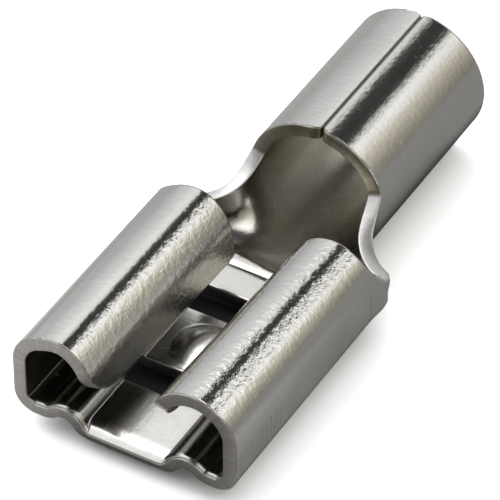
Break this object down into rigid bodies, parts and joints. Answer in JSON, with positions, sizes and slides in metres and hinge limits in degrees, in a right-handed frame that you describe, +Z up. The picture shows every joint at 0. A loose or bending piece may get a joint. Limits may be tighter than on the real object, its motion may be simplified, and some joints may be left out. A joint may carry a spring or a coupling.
{
  "type": "female spade terminal",
  "caption": "One-piece folded brass push-on receptacle with inward-rolled sides, a slotted floor with a detent dome, an open neck and a round butt-seam wire barrel.",
  "frame": {"origin": "centre of the bounding box footprint, halfway between the mouth and the wire end, level with the underside of the wire barrel", "axes": "+Y from the tab mouth to the wire end, along the length; +X to the right when looking along +Y; +Z up, from the floor to the rolled sides and the barrel seam"},
  "size_m": [0.0076, 0.0182, 0.0048],
  "materials": {
    "tinned_brass": "bright tin plate over rolled brass sheet, lightly rubbed"
  },
  "bodies": {
    "root": {"terminal_body": "tinned_brass"}
  },
  "joints": []
}
